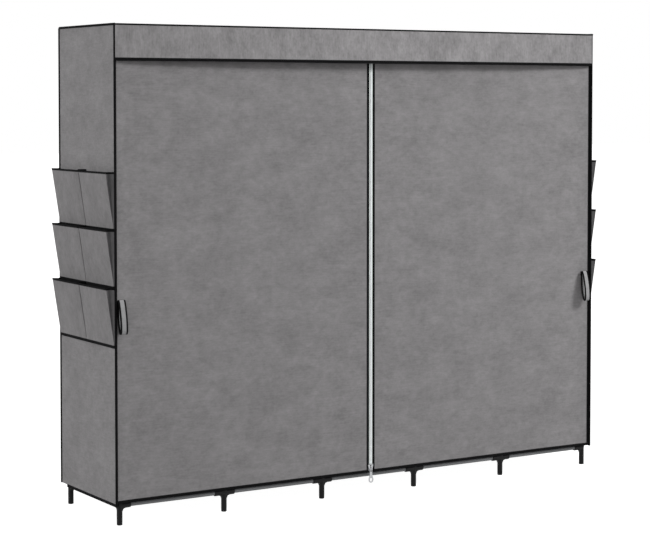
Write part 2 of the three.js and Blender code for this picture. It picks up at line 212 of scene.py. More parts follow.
class Finish(Bench):
    """A surface finish: one Principled shader, and the texture nodes that vary it."""

    def __init__(self, name, slot):
        self.material = put(bpy.data.materials.new(name), use_nodes=True)
        super().__init__(self.material.node_tree)
        self.place = self.add("ShaderNodeTexCoord", output="Object")

    def clouds(self, scales, detail=2.0, rough=0.5):
        """Soft noise from 0 to 1, of one size or with its own size along each axis."""
        sizes = scales if isinstance(scales, tuple) else (scales,) * 3
        stretched = self.add("ShaderNodeVectorMath", {"operation": "MULTIPLY"},
                             {0: self.place, 1: sizes})
        return self.add("ShaderNodeTexNoise", inputs={
            "Vector": stretched, "Scale": 1.0, "Detail": detail, "Roughness": rough})

    def weave(self, **pitches):
        """Crossing ribs from -1 to 1, one for each pitch along each of two axes."""
        first, second = [
            (self.add("ShaderNodeSeparateXYZ", inputs={0: self.place}, output="XYZ".index(axis))
             * (2 * math.pi / pitch)).maths("SINE") for axis, pitch in pitches.items()]
        return first * second

    def mixed(self, first, second, share):
        return self.add("ShaderNodeMix", {"data_type": "RGBA"}, {0: share, 6: first, 7: second}, 2)

    def done(self, colour, height, depth, strength, **sockets):
        """Closes the finish with its colour, the height of its bump and its other sockets."""
        inputs = {"Base Color": colour, "Normal": self.add("ShaderNodeBump", inputs={
            "Height": height, "Distance": depth, "Strength": strength})}
        inputs.update({name.replace("_", " "): value for name, value in sockets.items()})
        shader = self.add("ShaderNodeBsdfPrincipled", inputs=inputs)
        self.add("ShaderNodeOutputMaterial", inputs={"Surface": shader})
        return self.material


def two_tone(name, slot, dark, pale, tone, grain, bump, roughness, sway=0, **sockets):
    """A finish that drifts between two colours, with a fine grain or a weave. The bump is its
    depth and strength, and the roughness may sway with the colour."""
    finish = Finish(name, slot)
    share = finish.clouds(*tone)
    height = finish.weave(**grain) if isinstance(grain, dict) else finish.clouds(*grain)
    return finish.done(finish.mixed(linear(*dark), linear(*pale), share), height, *bump,
                       Roughness=share * sway + roughness if sway else roughness, **sockets)


def tidy(mesh, sharp=35):
    """Smooth shading, with edges left sharp past an angle."""
    mesh.polygons.foreach_set("use_smooth", [True] * len(mesh.polygons))
    mesh.set_sharp_from_angle(angle=math.radians(sharp))
    return mesh


def baked(thing):
    """The plain mesh that an object's modifiers give. The object itself is removed."""
    bpy.context.view_layer.update()
    depsgraph = bpy.context.evaluated_depsgraph_get()
    mesh = bpy.data.meshes.new_from_object(thing.evaluated_get(depsgraph))
    bpy.data.objects.remove(thing)
    return mesh

def fit(name, mesh, material, body="root", stands_for=()):
    """Puts a finished piece on its body with its finish, and hides the nodes that it stands for."""
    mesh.name = name
    mesh.materials.clear()
    mesh.materials.append(material)
    piece = made(name, mesh)
    if body:
        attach(piece, body)
    if stands_for:
        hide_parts(*stands_for)
    return piece


def add_bar(shell, start, end, radius, sides=32):
    run = Vector(end) - Vector(start)
    place = Matrix.Translation((Vector(start) + Vector(end)) / 2)
    turn = run.to_track_quat("Z", "Y").to_matrix().to_4x4()
    bmesh.ops.create_cone(shell, cap_ends=True, segments=sides, radius1=radius, radius2=radius,
                          depth=run.length, matrix=place @ turn)


def add_web(shell, outline, along, width):
    """A flat web: its outline runs out along one axis and up, and it is so wide across."""
    across = Vector((-along[1], along[0], 0)) * (width / 2)
    ring = [Vector((along[0] * out, along[1] * out, up)) for out, up in outline]
    near = [shell.verts.new(point - across) for point in ring]
    far = [shell.verts.new(point + across) for point in ring]
    shell.faces.new(near)
    shell.faces.new(far[::-1])
    for index in range(len(ring)):
        shell.faces.new((near[index - 1], far[index - 1], far[index], near[index]))


def from_shell(name, shell):
    bmesh.ops.recalc_face_normals(shell, faces=shell.faces)
    mesh = bpy.data.meshes.new(name)
    shell.to_mesh(mesh)
    shell.free()
    return mesh


def moulding(name, shell, bores, grain=0.0010, kept=0.34, fuller=0.0):
    """One moulding: its bars and webs melted into a skin with soft inner corners, then bored."""
    body = made(name, from_shell(name, shell))
    put(body.modifiers.new("melt", "REMESH"), mode="VOXEL", voxel_size=grain)
    put(body.modifiers.new("ease", "SMOOTH"), factor=0.5, iterations=5)
    put(body.modifiers.new("swell", "DISPLACE"), strength=fuller, mid_level=0)
    put(body.modifiers.new("thin", "DECIMATE"), ratio=kept)
    skin = made(name, baked(body))
    cutter = bmesh.new()
    for start, end in bores:
        add_bar(cutter, start, end, bore_radius, 40)
    tools = made(name + "_bores", from_shell(name + "_bores", cutter))
    put(skin.modifiers.new("bore", "BOOLEAN"), operation="DIFFERENCE", solver="EXACT",
        use_self=True, object=tools)
    master = put(made(name, tidy(baked(skin))), hide_render=True)
    bpy.data.objects.remove(tools)
    return master


class Recipe(Bench):
    """A Geometry Nodes tree with named sizes. It ends in Realize Instances and Set Material."""

    def __init__(self, name, sizes):
        super().__init__(bpy.data.node_groups.new(name, "GeometryNodeTree"))
        for label, kind in {"Geometry": "Geometry", **sizes, "Finish": "Material"}.items():
            self.tree.interface.new_socket(label, in_out="INPUT", socket_type="NodeSocket" + kind)
        self.tree.interface.new_socket("Geometry", in_out="OUTPUT",
                                       socket_type="NodeSocketGeometry")
        self.given = self.tree.nodes.new("NodeGroupInput")

    def size(self, label):
        return Signal(self, self.given.outputs[label])

    def ends_with(self, geometry):
        real = self.add("GeometryNodeRealizeInstances", inputs={0: geometry})
        painted = self.add("GeometryNodeSetMaterial", inputs={
            "Geometry": real, "Material": self.size("Finish")})
        self.add("NodeGroupOutput", inputs={0: painted})

    def named(self, label, kind):
        """A value that each point carries."""
        return self.add("GeometryNodeInputNamedAttribute", {"data_type": kind}, {"Name": label})

    def copies(self, points, shape, **sockets):
        """Ends the tree with a copy of a shape at each point."""
        self.ends_with(self.add("GeometryNodeInstanceOnPoints", inputs={
            "Points": points, "Instance": shape, **sockets}))

    def make(self, name, points, finish, sizes, edges=(), marks=None):
        """Runs the tree on points, or on paths of edges, and gives back a plain mesh."""
        mesh = bpy.data.meshes.new(name)
        mesh.from_pydata([tuple(point) for point in points], list(edges), [])
        for label, values in (marks or {}).items():
            wide = isinstance(values[0], Vector)
            mark = mesh.attributes.new(label, "FLOAT_VECTOR" if wide else "FLOAT", "POINT")
            for item, value in zip(mark.data, values):
                setattr(item, "vector" if wide else "value", value)
        seed = made(name, mesh)
        modifier = put(seed.modifiers.new("make", "NODES"), node_group=self.tree)
        chosen = dict(sizes, Finish=finish)
        for item in self.tree.interface.items_tree:
            if item.in_out == "INPUT" and item.name in chosen:
                modifier[item.identifier] = chosen[item.name]
        return baked(seed)


black_nylon = two_tone(
    "black_nylon", "connector_plastic", (9, 9, 10), (19, 19, 20), (55, 4), (900, 3),
    (0.00012, 0.4), 0.42, 0.2, Specular_IOR_Level=0.14)

placing = Recipe("placed_mouldings", {"Moulding": "Object"})
placing.copies(placing.size("Geometry"),
               placing.add("GeometryNodeObjectInfo", inputs={"Object": placing.size("Moulding")},
                           output="Geometry"),
               Rotation=placing.add("ShaderNodeCombineXYZ", inputs={
                   2: placing.named("turn", "FLOAT")}))


def placed(name, master, places, stands_for=()):
    """Copies of one moulding, each at a point and turned about the vertical by quarter turns."""
    mesh = placing.make(name, [point for point, quarter in places], black_nylon,
                        {"Moulding": master},
                        marks={"turn": [quarter * math.pi / 2 for point, quarter in places]})
    bpy.data.objects.remove(master)
    fit(name, tidy(mesh), black_nylon, stands_for=stands_for)


def on_columns(turns, height, kind):
    """Places at rows' columns, with their quarter turns, and the nodes that stand there."""
    return ([(spot(column_x[column], row_depth[row], height), quarter)
             for (row, column), quarter in turns.items()],
            [f"{kind}_{row}_{column + 1}" for row, column in turns])


def add_arm(shell, along, past, height=0.0):
    """Adds an arm to a moulding, and gives its tube's bore, cut a little past the arm's end."""
    hub = Vector((0, 0, height))
    out = Vector((*along, 0))
    add_bar(shell, hub, hub + out * arm_reach, sleeve_radius)
    return hub + out * socket_floor, hub + out * (arm_reach + past)


def through_bore(height=0.0):
    """The bore of a rail that runs through two arms."""
    reach = arm_reach + bore_past
    return (-reach, 0, height), (reach, 0, height)


def foot_master(name, arms, through):
    """A foot about its leg's centre line, standing on the floor. Through rails share one bore."""
    shell = bmesh.new()
    sleeve_top = rail_height + arm_reach
    add_bar(shell, (0, 0, foot_fuller + 0.0001), (0, 0, rail_height), leg_radius)
    add_bar(shell, (0, 0, rail_height), (0, 0, sleeve_top), sleeve_radius)
    edge = leg_radius + web_radius
    under = rail_height - sleeve_radius - web_radius
    outline = [(0, rail_height), (edge, rail_height)]
    for turn in even(math.pi / 2, math.pi, 0.2):
        outline.append((edge + web_radius * math.cos(turn), under + web_radius * math.sin(turn)))
    outline.append((0, under))
    bores = [((0, 0, rail_height + socket_floor), (0, 0, sleeve_top + bore_past))]
    for along in arms:
        bore = add_arm(shell, along, foot_arm_past, rail_height)
        add_web(shell, outline, along, web_width)
        if not through:
            bores.append(bore)
    if through:
        bores.append(through_bore(rail_height))
    return moulding(name, shell, bores, fuller=foot_fuller)


corners = {("front", 0): 0, ("front", 5): 1, ("rear", 5): 2, ("rear", 0): 3}
middles = {(row, column): 0 if row == "front" else 2
           for row in row_depth for column in range(1, 5)}
placed("feet_corner", foot_master("foot_corner", [(1, 0), (0, 1)], False),
       *on_columns(corners, 0, "foot"))
placed("feet_middle", foot_master("foot_middle", [(1, 0), (-1, 0)], True),
       *on_columns(dict.fromkeys(middles, 0), 0, "foot"))


# Frame tubes: 16 mm steel tube with a 1 mm wall, cut square and powder coated silver grey.
# Uprights, rails, cross tubes and two hanging rods push into the mouldings and butt inside them.

tube_radius = 0.008
tube_wall = 0.001
top_height = 1.6922
rod_height = 1.6172
rod_depth = 0.227
joint_gap = 0.0003
tube_end = socket_floor + joint_gap

silver_coat = two_tone(
    "silver_powder_coat", "steel_tube", (110, 111, 113), (128, 129, 131), (9, 2), (420, 2),
    (0.00008, 0.5), 0.46, 0.12, Specular_IOR_Level=0.3)

tubing = Recipe("steel_tubing", {"Radius": "Float", "Wall": "Float"})
tube_run = tubing.named("run", "FLOAT_VECTOR")
tube_length = tubing.add("ShaderNodeVectorMath", {"operation": "LENGTH"}, {0: tube_run}, 1)
wall_ring = tubing.add("GeometryNodeCurvePrimitiveCircle", inputs={
    "Resolution": 32, "Radius": tubing.size("Radius") - tubing.size("Wall") * 0.5})
wall_slice = tubing.add("GeometryNodeCurvePrimitiveQuadrilateral", inputs={
    "Width": tubing.size("Wall"), "Height": 1.0})
unit_tube = tubing.add("GeometryNodeCurveToMesh", inputs={
    "Curve": wall_ring, "Profile Curve": wall_slice})
tube_turn = tubing.add("FunctionNodeAlignRotationToVector", {"axis": "Z"}, {"Vector": tube_run})
tube_scale = tubing.add("ShaderNodeCombineXYZ", inputs={0: 1.0, 1: 1.0, 2: tube_length})
tubing.copies(tubing.size("Geometry"), unit_tube, Rotation=tube_turn, Scale=tube_scale)


def tubes(name, runs, stands_for=()):
    """Hollow tubes, one for each pair of end points."""
    mesh = tubing.make(name, [(start + end) / 2 for start, end in runs], silver_coat,
                       {"Radius": tube_radius, "Wall": tube_wall},
                       marks={"run": [end - start for start, end in runs]})
    fit(name, tidy(mesh), silver_coat, stands_for=stands_for)


def rail_runs(depth, height, first=0, last=5):
    """Tubes along the front, butted at each column."""
    gap = Vector((joint_gap, 0, 0))
    stops = [spot(column_x[column], depth, height) for column in range(first, last + 1)]
    return [(start + gap, end - gap) for start, end in zip(stops, stops[1:])]


def cross_runs(height, places):
    """Tubes from the front to the rear."""
    return [(spot(x, row_depth["front"] + tube_end, height),
             spot(x, row_depth["rear"] - tube_end, height)) for x in places]


tubes("uprights", [
    (spot(x, depth, rail_height + tube_end), spot(x, depth, top_height - tube_end))
    for x in column_x for depth in row_depth.values()])
for level, height in (("base", rail_height), ("top", top_height)):
    for row, depth in row_depth.items():
        tubes(f"{level}_rail_tubes_{row}", rail_runs(depth, height), [f"{level}_rail_{row}"])
tubes("base_cross_tubes", cross_runs(rail_height, (column_x[0], column_x[5])),
      ["base_cross_left", "base_cross_right"])
tubes("top_cross_tubes", cross_runs(top_height, column_x))
for side_name, first, last in (("left", 0, 2), ("right", 3, 5)):
    tubes(f"rod_tubes_{side_name}", rail_runs(rod_depth, rod_height, first, last),
          [f"hanging_rod_{side_name}"])


# Upper mouldings: a connector on each upright, sockets for the shelf tubes, and hangers that carry
# the rods 75 mm under the top cross tubes. Black nylon, pushed onto the tubes.

shelf_heights = (0.470, 0.870, 1.270)
shelf_sleeve = 0.017
hanger_half = 0.020
hanger_waist = 0.006
rod_socket_reach = 0.024
rod_drop = top_height - rod_height


def connector_master(name, arms, down, up=0.0, through=False):
    """A connector about its centre: arms, and a sleeve down the upright."""
    shell = bmesh.new()
    add_bar(shell, (0, 0, -down), (0, 0, up), sleeve_radius)
    bores = [((0, 0, -down - bore_past), (0, 0, up + bore_past if up else -socket_floor))]
    bores += [add_arm(shell, along, top_arm_past) for along in arms]
    if through:
        bores.append(through_bore())
    return moulding(name, shell, bores, 0.0013, 0.3)


def hanger_master(name, rods):
    """A hanger about the cross tube above it, with a socket on each side that has a rod."""
    shell = bmesh.new()
    add_bar(shell, (0, -hanger_half, 0), (0, hanger_half, 0), sleeve_radius)
    outline = []
    for share in even(0, 1, 0.125):
        bulge = 2 * share * (1 - share)
        outline.append(((1 - share) ** 2 * hanger_half + bulge * hanger_waist
                        + share ** 2 * sleeve_radius, -rod_drop * share))
    outline += [(-out, up) for out, up in reversed(outline)]
    add_web(shell, outline, (0, 1), web_width)
    add_bar(shell, *[(side * (rod_socket_reach if side in rods else web_width / 2), 0, -rod_drop)
                     for side in (-1, 1)], sleeve_radius)
    reach = rod_socket_reach + bore_past
    bores = [((0, -hanger_half - bore_past, 0), (0, hanger_half + bore_past, 0)),
             [(side * reach if side in rods else 0, 0, -rod_drop) for side in (-1, 1)]]
    return moulding(name, shell, bores, 0.0013, 0.3)


placed("top_connectors_corner", connector_master("top_corner", [(1, 0), (0, 1)], arm_reach),
       *on_columns(corners, top_height, "upright"))
placed("top_connectors_middle",
       connector_master("top_middle", [(1, 0), (-1, 0), (0, 1)], arm_reach, through=True),
       *on_columns(middles, top_height, "upright"))
placed("shelf_sockets", connector_master("shelf_socket", [(1, 0)], shelf_sleeve, shelf_sleeve),
       [(spot(column_x[column], depth, height), 0 if column == 2 else 2)
        for column in (2, 3) for depth in row_depth.values() for height in shelf_heights])
for label, rods, turns in (("end", (1,), {0: 0, 2: 2, 3: 0, 5: 2}),
                           ("through", (-1, 1), {1: 0, 4: 0})):
    placed(f"rod_hangers_{label}", hanger_master(f"hanger_{label}", rods),
           [(spot(column_x[column], rod_depth, top_height), turn)
            for column, turn in turns.items()],
           [f"top_cross_{column + 1}" for column in turns])


# Shelves: three sheets of the cover's cloth in the middle bay, each sewn into a sleeve round its
# front and back tube. They sag a little between the tubes.

cloth_thick = 0.0015
shelf_half = 0.1636
shelf_sag = 0.011
shelf_thick = 0.0011
sleeve_wrap = 0.0094
sleeve_seam = 0.042
stitch_pitch = 0.0042
stitch_length = 0.0032
thread_thick = 0.0009


def faded(value, low, high, width):
    """0 at both limits of a range, rising smoothly to 1 over a width from each."""
    share = max(0.0, min(1.0, min(value - low, high - value) / width))
    return share * share * (3 - 2 * share)


def ripple(along, up, size, seed):
    return noise.noise(Vector((along / size, up / size, seed)))


def sheet_mesh(across, rising, place, thickness):
    """A sheet with two faces and closed edges. place(a, b) gives a point of its outer face, and
    the sheet thickens away from the side that its outer face looks to."""
    grid = [[place(a, b) for a in across] for b in rising]
    rows, columns = len(rising), len(across)
    outer, inner = [], []
    for row in range(rows):
        for column in range(columns):
            run = grid[row][min(column + 1, columns - 1)] - grid[row][max(column - 1, 0)]
            lift = grid[min(row + 1, rows - 1)][column] - grid[max(row - 1, 0)][column]
            point = grid[row][column]
            outer.append(point)
            inner.append(point - run.cross(lift).normalized() * thickness)
    count = rows * columns
    faces = []
    for row in range(rows - 1):
        for column in range(columns - 1):
            corner = row * columns + column
            ring = (corner, corner + 1, corner + columns + 1, corner + columns)
            faces.append(ring)
            faces.append(tuple(index + count for index in reversed(ring)))
    edge = [*range(columns), *range(2 * columns - 1, count, columns),
            *range(count - 2, count - columns - 1, -1),
            *range(count - 2 * columns, 0, -columns)]
    for index, corner in enumerate(edge):
        before = edge[index - 1]
        faces.append((corner, before, before + count, corner + count))
    mesh = bpy.data.meshes.new("sheet")
    mesh.from_pydata([tuple(point) for point in outer + inner], [], faces)
    return tidy(mesh, 50)


def cloth(name, across, rising, place, material, flat, rests_on, held="hung", body="root",
          thick=cloth_thick, stands_for=(), **cut):
    """A sheet of cloth. Its flat size, what it hangs from or is stretched on, how it is held and its
    cut sizes are not used.
    """
    piece = fit(name, sheet_mesh(across, rising, place, thick), material, body, stands_for)
    return piece


def cover_cloth(name, tone, across, up, streaks, spread=0.26):
    """Woven polyester, mottled at every size and slubbed. Streaks run along one axis of its face."""
    def streaked(size, along):
        return tuple(along if axis == streaks else size for axis in "XYZ")

    finish = Finish(name, "cover_cloth")
    mottle = finish.clouds(streaked(10.5, 7.0), 4.4, 1.0)
    slub = finish.clouds(streaked(260.0, 22.0))
    share = (mottle - 0.5) * 2.1 + (slub - 0.5) * 0.6 + 0.5
    dark, pale = [(*[level * change for level in tone[:3]], 1)
                  for change in (1 - spread, 1 + spread)]
    weave = finish.weave(**{across: 0.0016, up: 0.0016})
    return finish.done(finish.mixed(dark, pale, share), weave * 0.5 + slub * 1.5 + mottle,
                       0.0004, 0.35, Roughness=0.92, Sheen_Weight=0.08)


grey = linear(129, 127, 128)
cloth_level = cover_cloth("grey_cloth_level", grey, "X", "Y", "X")
grey_thread = two_tone("grey_thread", "cover_cloth", (84, 83, 84), (112, 110, 111), (500, 2),
                       (2500, 1), (0.0001, 0.4), 0.65)

sewing = Recipe("stitches", {"Pitch": "Float", "Stitch": "Float", "Thread": "Float"})
sewn_line = sewing.add("GeometryNodeMeshToCurve", inputs={0: sewing.size("Geometry")})
needle_holes = sewing.add("GeometryNodeCurveToPoints", {"mode": "LENGTH"}, {
    "Curve": sewn_line, "Length": sewing.size("Pitch")})
one_stitch = sewing.add("GeometryNodeMeshIcoSphere", inputs={"Radius": 0.5, "Subdivisions": 1})
stitch_size = sewing.add("ShaderNodeCombineXYZ", inputs={
    0: sewing.size("Thread"), 1: sewing.size("Thread"), 2: sewing.size("Stitch")})
sewing.copies(needle_holes, one_stitch, Rotation=needle_holes.other("Rotation"),
              Scale=stitch_size)


def chain(lines):
    """The points and edges of several open paths together."""
    points, edges = [], []
    for line in lines:
        start = len(points)
        points += line
        edges += [(index, index + 1) for index in range(start, len(points) - 1)]
    return points, edges

def stitches(name, lines, thread, body="root"):
    """Rows of lockstitch along paths, each stitch half sunk in the cloth."""
    points, edges = chain(lines)
    mesh = sewing.make(name, points, thread, {
        "Pitch": stitch_pitch, "Stitch": stitch_length, "Thread": thread_thick}, edges)
    return fit(name, tidy(mesh, 80), thread, body)


near, far = row_depth.values()


def shelf_profile(height):
    """The sheet's path over both tubes, from one sleeve seam to the other."""
    crest = height + sleeve_wrap
    half = [(near + sleeve_seam, crest - 0.0045)]
    half += [(near + sleeve_wrap * math.cos(turn), height + sleeve_wrap * math.sin(turn))
             for turn in even(math.radians(-80), math.radians(-270), 0.28)]
    middle = [(near + (far - near) * share, crest - shelf_sag * math.sin(math.pi * share) ** 1.3)
              for share in even(0, 1, 0.05)[1:-1]]
    return half + middle + [(near + far - depth, level) for depth, level in reversed(half)]


seam_stop = 15
shelf_rows = []
for index, height in enumerate(shelf_heights):
    profile = shelf_profile(height)

    def shelf_place(x, stop):
        depth, level = profile[stop]
        free = 0
        if stop >= seam_stop - 1 and 0.03 < depth < 0.42:
            free = max(0, math.sin(math.pi * (depth - near) / (far - near)))
        return spot(x, depth, level + 0.0022 * ripple(x, depth, 0.16, index + 3.5) * free)

    tubes(f"shelf_tubes_{index + 1}", [
        (spot(column_x[2] + tube_end, depth, height), spot(column_x[3] - tube_end, depth, height))
        for depth in row_depth.values()])
    run = sum(math.dist(a, b) for a, b in zip(profile, profile[1:]))
    cloth(f"shelf_cloth_{index + 1}", even(-shelf_half, shelf_half, 0.016), range(len(profile)),
          shelf_place, cloth_level, (2 * shelf_half, run), [f"shelf_tubes_{index + 1}"],
          "stretched", thick=shelf_thick, stands_for=[f"shelf_{index + 1}"])
    shelf_rows += [
        [shelf_place(x, stop) for x in even(0.004 - shelf_half, shelf_half - 0.004, 0.016)]
        for stop in (seam_stop, len(profile) - 1 - seam_stop)]
stitches("shelf_sleeve_stitches", shelf_rows, grey_thread)


# Cover: two sides, a back and a roof of the same cloth, sewn edge to edge over the frame. Each side
# ends at the front in a narrow turned-in strip that the door's outer edge is sewn to.

sides = (("left", -1), ("right", 1))
half_width = 1.035
deep = 0.454
tall = 1.704
hem_height = 0.076
side_foot = {"left": 0.0675, "right": 0.076}
side_raw_edge = 0.0085
roof_under = tall - cloth_thick
roof_sag = 0.0045

cloth_side = cover_cloth("grey_cloth_side", grey, "Y", "Z", "Y")
cloth_back = cover_cloth("grey_cloth_back", grey, "X", "Z", "X")


def side_place(side, proud=0.0):
    def place(depth, z):
        settle = faded(depth, 0, deep, 0.12) * faded(z, hem_height, tall, 0.15)
        swell = 0.0016 * ripple(depth, z, 0.30, 4.2) + 0.0006 * ripple(depth, z, 0.09, 9.1)
        return spot(side * (half_width - 0.0004 + swell * settle + proud), depth, z)
    return place

def back_place(x, z, proud=0.0):
    settle = faded(x, -half_width, half_width, 0.15) * faded(z, hem_height, tall, 0.15)
    return spot(x, deep + 0.0018 * settle * ripple(x, z, 0.34, 2.2) + proud, z)


def roof_place(x, depth):
    """The roof sags within each bay and lies flat over the top cross tubes."""
    bay = abs(math.sin(math.pi * (x - column_x[0]) / column_step))
    within = faded(x, column_x[0], column_x[5], 0.05)
    sag = roof_sag * bay ** 0.8 * math.sin(math.pi * depth / deep) * within
    return spot(x, depth, tall - sag)


for side_name, side in sides:
    low = side_foot[side_name] + side_raw_edge
    cloth(f"side_cloth_{side_name}", even(0, deep, 0.014)[::side],
          even(low, roof_under - 0.0003, 0.016), side_place(side), cloth_side, (deep, tall - low),
          ["roof_cloth"], stands_for=[f"side_panel_{side_name}"])
cloth("back_cloth", even(half_width - 0.0018, -half_width + 0.0018, 0.03),
      even(hem_height, roof_under - 0.0003, 0.03), back_place, cloth_back,
      (2 * half_width, tall - hem_height), ["roof_cloth"], stands_for=["back_panel"])
cloth("roof_cloth", even(-half_width, half_width, 0.02), even(0, deep, 0.02), roof_place,
      cloth_level, (2 * half_width, deep), ["top_rail_tubes_front", "top_rail_tubes_rear"],
      "stretched", stands_for=["roof_panel"])


# Valance: a band of cloth hanging from the roof's front edge, hemmed in black. It bellies forward
# over the doors' tops. A strip behind the doors' tops closes the gap above them.

valance_hem = 1.581
valance_half = 1.0332
valance_belly = 0.0125
header_half = 1.020
header_low, header_high = 1.560, 1.700
header_depth = 0.0145

# The valance's cloth is a shade lighter than the doors' grey: painted light, for the brighter light
# that falls on the valance.
cloth_valance_painted_lighter = cover_cloth("grey_cloth_valance_painted_light", linear(135, 133, 134), "X", "Z", "Z", 0.36)


def valance_place(proud=0.0):
    def place(x, z):
        out = 1 - (x / valance_half) ** 2
        drop = (tall - z) / (tall - valance_hem)
        belly = valance_belly * out * drop ** 0.8
        wave = (0.0011 * ripple(x, z, 0.28, 6.6) + 0.0004 * ripple(x, z, 0.08, 1.6)) * drop
        return spot(x, -belly - wave * faded(x, -valance_half, valance_half, 0.12) - proud, z)
    return place


cloth("valance_cloth", even(-valance_half, valance_half, 0.014),
      even(valance_hem + 0.001, roof_under, 0.012), valance_place(), cloth_valance_painted_lighter,
      (2 * valance_half, tall - valance_hem), ["roof_cloth"], stands_for=["valance"])
cloth("header_strip", even(-header_half, header_half, 0.06), even(header_low, header_high, 0.07),
      lambda x, z: spot(x, header_depth, z), cloth_back,
      (2 * header_half, header_high - header_low), ["roof_cloth"])


# Piping, hems and corner facings: black woven binding, folded over every raw edge and sewn down.
# The corners and the roof's edges have a round bead of it over a cord.

bead_radius = 0.0036
hem_width = 0.010
hem_row = hem_width - 0.0016
binding_proud = 0.0006
stitch_proud = binding_proud + 0.0001
corner_round = 0.006
side_hem_end = 0.408
ridge = tall - 0.0008
facing_depth = 0.0136

black_binding = two_tone("black_binding", "black_binding", (9, 9, 10), (19, 19, 20), (25, 3),
                         (700, 1), (0.0003, 0.5), 0.95, Specular_IOR_Level=0.08)
black_thread = two_tone("black_thread", "black_binding", (22, 22, 23), (44, 44, 45), (500, 2),
                        (2500, 1), (0.0001, 0.4), 0.6, Specular_IOR_Level=0.2)

piping = Recipe("corner_piping", {"Radius": "Float"})
piping_line = piping.add("GeometryNodeMeshToCurve", inputs={0: piping.size("Geometry")})
piping_ring = piping.add("GeometryNodeCurvePrimitiveCircle", inputs={
    "Resolution": 10, "Radius": piping.size("Radius")})
piping.ends_with(piping.add("GeometryNodeCurveToMesh", inputs={
    "Curve": piping_line, "Profile Curve": piping_ring, "Fill Caps": True}))


def beads(name, lines, radius=bead_radius, material=black_binding, body="root"):
    """Round beads along paths."""
    points, edges = chain(lines)
    mesh = piping.make(name, points, material, {"Radius": radius}, edges)
    fit(name, tidy(mesh, 60), material, body)


def binding(name, across, rising, place, body="root", thick=cloth_thick + 2 * binding_proud):
    """A strip of black binding, folded over the edge of a sheet."""
    return fit(name, sheet_mesh(across, rising, place, thick), black_binding, body)


def strip_place(path, side):
    """A strip that keeps to a path of x and depth at every height."""
    return lambda stop, z: spot(side * path[stop][0], path[stop][1], z)


front_lines, rear_lines = [], []
for side_name, side in sides:
    foot = side_foot[side_name]
    edge_x = side * (half_width - 0.0006)
    front_lines.append([spot(edge_x, 0.0030, z) for z in even(foot, tall - 0.001, 0.1)])
    rear_line = [spot(edge_x, deep, z)
                 for z in even(foot + side_raw_edge, tall - corner_round, 0.1)]
    rear_line += [spot(edge_x, deep - corner_round * (1 - math.cos(turn)),
                       ridge - corner_round * (1 - math.sin(turn)))
                  for turn in even(0, math.pi / 2, 0.27)[1:]]
    rear_line += [spot(edge_x, depth, ridge) for depth in even(deep - 0.02, 0, 0.05)]
    rear_lines.append(rear_line)
roof_stops = even(-half_width, half_width, 0.08)
rear_lines.append([spot(x, deep, ridge) for x in roof_stops])
beads("front_piping", front_lines)
beads("rear_piping", rear_lines, 0.0042)
beads("roof_front_piping", [[spot(x, 0.0004, ridge) for x in roof_stops]], 0.0029)

facing_x = half_width - 0.0029
facing = [(facing_x, 0.0006), (facing_x, facing_depth), (half_width - 0.0135, facing_depth)]
cover_rows = []
for side_name, side in sides:
    foot = side_foot[side_name]
    binding(f"door_seam_facing_{side_name}", range(3)[::-side], even(foot, 1.700, 0.4),
            strip_place(facing, side), thick=0.0009)
    binding(f"side_hem_{side_name}", even(0, side_hem_end, 0.03)[::side],
            even(foot - 0.0006, foot + hem_width, 0.005), side_place(side, binding_proud))
    cover_rows.append([side_place(side, stitch_proud)(depth, foot + hem_row)
                       for depth in even(0.008, side_hem_end, 0.03)])
cover_rows.append([back_place(x, hem_height + hem_row, stitch_proud)
                   for x in even(-1.028, 1.028, 0.05)])
stitches("cover_hem_stitches", cover_rows, black_thread)
stitches("valance_hem_stitches", [[
    valance_place(stitch_proud)(x, valance_hem + hem_row)
    for x in even(-valance_half + 0.004, valance_half - 0.004, 0.02)]], black_thread)
binding("back_hem", even(half_width, -half_width, 0.06),
        even(hem_height - 0.0006, hem_height + hem_width, 0.005),
        lambda x, z: back_place(x, z, binding_proud))
binding("valance_hem_binding", even(-valance_half, valance_half, 0.02),
        even(valance_hem, valance_hem + hem_width, 0.005), valance_place(binding_proud))


# Side pockets: three to a side, each a face that leans out from its bottom seam, with a folded
# gusset at each end and one between its two cells. The gussets are of a darker cloth.

pocket_front = 0.011
pocket_rear = 0.4525
pocket_middle = (pocket_front + pocket_rear) / 2
pocket_tall = 0.1957
pocket_foot = 0.0025
pocket_reach = 0.032
pocket_tops = (1.205, 1.010, 0.813)
pocket_lift = {"left": 0, "right": 0.003}
pocket_hems = ((-0.0062, 0.0045), (-0.0086, 0.0045), (-0.0089, 0.0009))
mouth_binding = 0.0060
seam_half = 0.012
gusset_thick = 0.0010
gusset_widths = {"front": 0.042, "middle": 0.032, "rear": 0.037}
gusset_taper = 0.55
gusset_folds = {"front": (0.0032, pocket_front + 0.0008, 0.010),
                "middle": (pocket_middle, pocket_middle, 0.003),
                "rear": (pocket_rear - 0.0010, pocket_rear - 0.0010, -0.010)}

cloth_pocket = cover_cloth("grey_cloth_pocket", linear(125, 123, 124), "Y", "Z", "Z")
cloth_gusset = cover_cloth("dark_gusset_cloth", linear(86, 85, 86), "X", "Z", "Z")


def pocket_face(side, top, proud=0.0):
    """The outer face of one pocket, a little full in each cell and drawn in at the seam."""
    def place(depth, up):
        share = up / pocket_tall
        off = abs(depth - pocket_middle)
        free = faded(share, 0, 1, 0.5)
        fullness = 0.0030 * math.sin(math.pi * off / (pocket_rear - pocket_middle)) * free
        crease = 0.0032 * math.exp(-(off / 0.005) ** 1.3) * min(1, 0.25 + share)
        wave = 0.0010 * ripple(depth, top + up, 0.10, 5.3) * free
        lean = max(0.0, up - 0.010) / (pocket_tall - 0.010)
        out = pocket_foot + (pocket_reach - pocket_foot) * lean + fullness - crease + wave
        return spot(side * (half_width + 0.0003 + out + proud), depth, top - pocket_tall + up)
    return place


